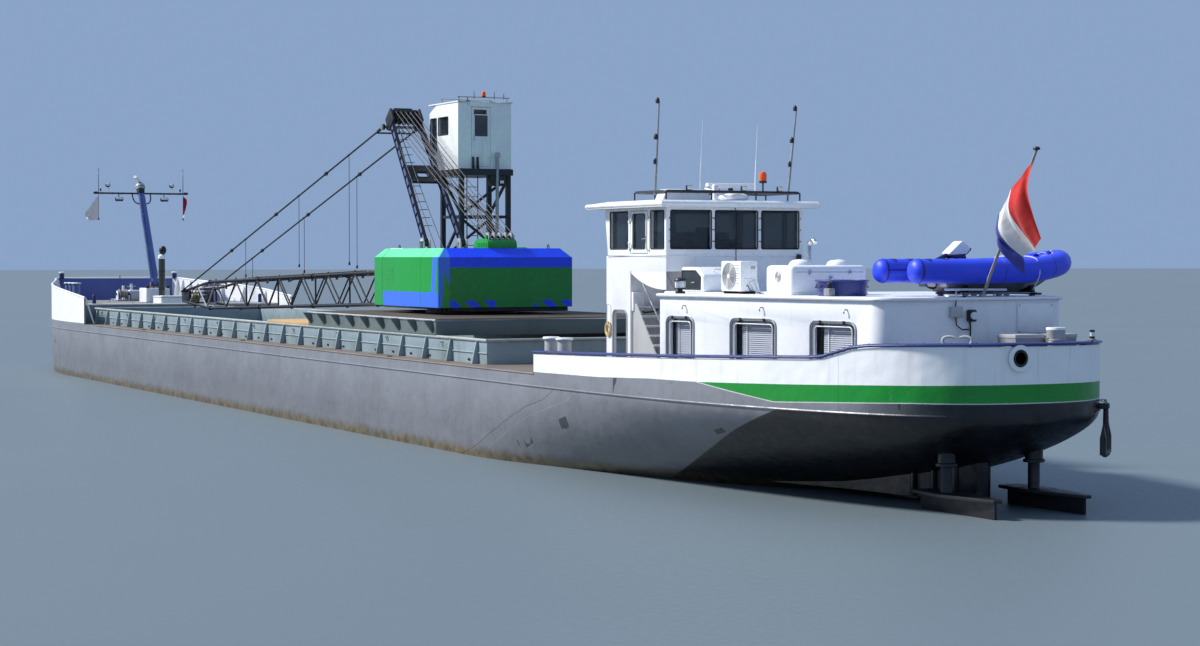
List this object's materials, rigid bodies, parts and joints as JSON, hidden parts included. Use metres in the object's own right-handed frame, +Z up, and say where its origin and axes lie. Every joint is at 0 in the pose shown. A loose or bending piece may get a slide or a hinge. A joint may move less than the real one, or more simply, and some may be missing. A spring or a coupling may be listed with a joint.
{
  "type": "self-propelled crane barge, 1:2 scale model",
  "caption": "Long river motor barge with an open cargo hold, a stern deckhouse and wheelhouse, and a slewing lattice-boom rope crane on a platform over the hold.",
  "frame": {"origin": "on the hull's flat bottom at half the hull length, on the centreline", "axes": "+X towards the bow, +Y to port, +Z up; the waterline is at z = 0.5 m"},
  "size_m": [32.53, 4.1276, 5.025],
  "materials": {
    "white_paint": "gloss",
    "hull_paint": "worn matt",
    "blue_paint": "satin",
    "coaming_paint": "weathered matt",
    "deck_paint": "worn matt",
    "black_paint": "worn matt",
    "steel": "worn satin",
    "house_paint": "satin, weathered",
    "nav_paint": "satin",
    "galvanised": "dull",
    "bronze": "polished",
    "window": "clear tinted",
    "boards": "raw, greyed",
    "pole_wood": "varnished",
    "tube_rubber": "matt",
    "motor_cover": "gloss",
    "flag_cloth": "woven"
  },
  "bodies": {
    "ship": {"hull": "hull_paint", "hold_coaming": "coaming_paint", "stern_bulwark": "white_paint", "stern_rail_cap": "blue_paint", "bow_bulwark": "white_paint", "foredeck": "deck_paint", "deckhouse_walls": "white_paint", "deckhouse_glass": "window", "deckhouse_roof": "white_paint", "wheelhouse_trunk": "white_paint", "stair": "galvanised", "wheelhouse_window_band": "white_paint", "wheelhouse_glass": "window", "wheelhouse_roof": "white_paint", "name_plate": "galvanised", "wheelhouse_gear": "steel", "air_conditioner": "white_paint", "companion_hood": "white_paint", "roof_locker": "white_paint", "roof_tub": "blue_paint", "roof_vent": "galvanised", "dinghy": "tube_rubber", "outboard_motor": "motor_cover", "dinghy_cradle": "galvanised", "flagstaff": "pole_wood", "stern_flag": "flag_cloth", "stern_bollards_port": "black_paint", "stern_bollards_starboard": "black_paint", "side_bollards_port": "black_paint", "side_bollards_starboard": "black_paint", "bow_bollards_port": "black_paint", "bow_bollards_starboard": "black_paint", "windlass": "black_paint", "bow_hatch": "white_paint", "stern_anchor": "black_paint", "hold_boards": "boards", "nav_mast_base": "white_paint", "crane_platform": "black_paint", "slewing_ring": "steel"},
    "wheelhouse_door": {"wheelhouse_door": "white_paint"},
    "radar_aft": {"radar_aft": "white_paint"},
    "bow_hatch_lid": {"bow_hatch_lid": "white_paint"},
    "nav_mast": {"nav_mast": "nav_paint"},
    "radar_fore": {"radar_fore": "white_paint"},
    "propeller": {"propeller": "bronze"},
    "rudder_port": {"rudder_port": "black_paint"},
    "rudder_starboard": {"rudder_starboard": "black_paint"},
    "crane": {"turntable": "black_paint", "machine_house": "house_paint", "drum_cowl": "house_paint", "cab_tower": "steel", "crane_cab": "white_paint", "crane_cab_glass": "window"},
    "crane_cab_door": {"crane_cab_door": "white_paint"},
    "mast": {"mast": "steel"},
    "boom": {"boom": "steel"},
    "pendants": {"pendants": "steel"},
    "hook_block": {"hook_block": "black_paint"}
  },
  "joints": [
    {"name": "crane_slew", "type": "hinge", "parent": "ship", "child": "crane", "pos_m": [-3.425, 0, 2.055], "axis": [0, 0, 1], "range_deg": [-150, 150]},
    {"name": "boom_luff", "type": "hinge", "parent": "crane", "child": "boom", "pos_m": [-1.995, 0, 2.36], "axis": [0, -1, 0], "range_deg": [0, 70]},
    {"name": "mast_luff", "type": "hinge", "parent": "crane", "child": "mast", "pos_m": [-2.425, 0, 2.98], "axis": [0, -1, 0], "range_deg": [0, 91]},
    {"name": "pendant_swing", "type": "hinge", "parent": "mast", "child": "pendants", "pos_m": [-0.76796, 0, 4.6959], "axis": [0, -1, 0], "range_deg": [-23.66, 0]},
    {"name": "hook_hang", "type": "hinge", "parent": "boom", "child": "hook_block", "pos_m": [10.19002, 0, 2.04157], "axis": [0, -1, 0], "range_deg": [-70, 0]},
    {"name": "crane_cab_door_swing", "type": "hinge", "parent": "crane", "child": "crane_cab_door", "pos_m": [-2.035, -0.887, 4.5], "axis": [0, 0, 1], "range_deg": [0, 100]},
    {"name": "wheelhouse_door_swing", "type": "hinge", "parent": "ship", "child": "wheelhouse_door", "pos_m": [-9.974, 0.86, 3.05], "axis": [0, 0, -1], "range_deg": [0, 100]},
    {"name": "bow_hatch_lid_hinge", "type": "hinge", "parent": "ship", "child": "bow_hatch_lid", "pos_m": [12.1, 0, 2.013], "axis": [0, 1, 0], "range_deg": [0, 100]},
    {"name": "nav_mast_fold", "type": "hinge", "parent": "ship", "child": "nav_mast", "pos_m": [13.075, 0, 2.24], "axis": [0, 1, 0], "range_deg": [-29, 45]},
    {"name": "radar_fore_spin", "type": "hinge", "parent": "nav_mast", "child": "radar_fore", "pos_m": [14.2143, 0, 4.29536], "axis": [0.4848, 0, 0.8746], "continuous": true},
    {"name": "radar_aft_spin", "type": "hinge", "parent": "ship", "child": "radar_aft", "pos_m": [-10.175, -0.3, 3.5203], "axis": [0, 0, 1], "continuous": true},
    {"name": "propeller_spin", "type": "hinge", "parent": "ship", "child": "propeller", "pos_m": [-14.8, 0, 0.3], "axis": [1, 0, 0], "continuous": true},
    {"name": "rudder_port_turn", "type": "hinge", "parent": "ship", "child": "rudder_port", "pos_m": [-15.525, 0.48, 0.5], "axis": [0, 0, 1], "range_deg": [-35, 35]},
    {"name": "rudder_starboard_turn", "type": "hinge", "parent": "ship", "child": "rudder_starboard", "pos_m": [-15.525, -0.48, 0.5], "axis": [0, 0, 1], "range_deg": [-35, 35]}
  ],
  "couplings": [
    {"joint": "mast_luff", "follows": "boom_luff", "ratio": 1.3},
    {"joint": "pendant_swing", "follows": "boom_luff", "ratio": -0.338},
    {"joint": "hook_hang", "follows": "boom_luff", "ratio": -1},
    {"joint": "rudder_starboard_turn", "follows": "rudder_port_turn", "ratio": 1}
  ]
}
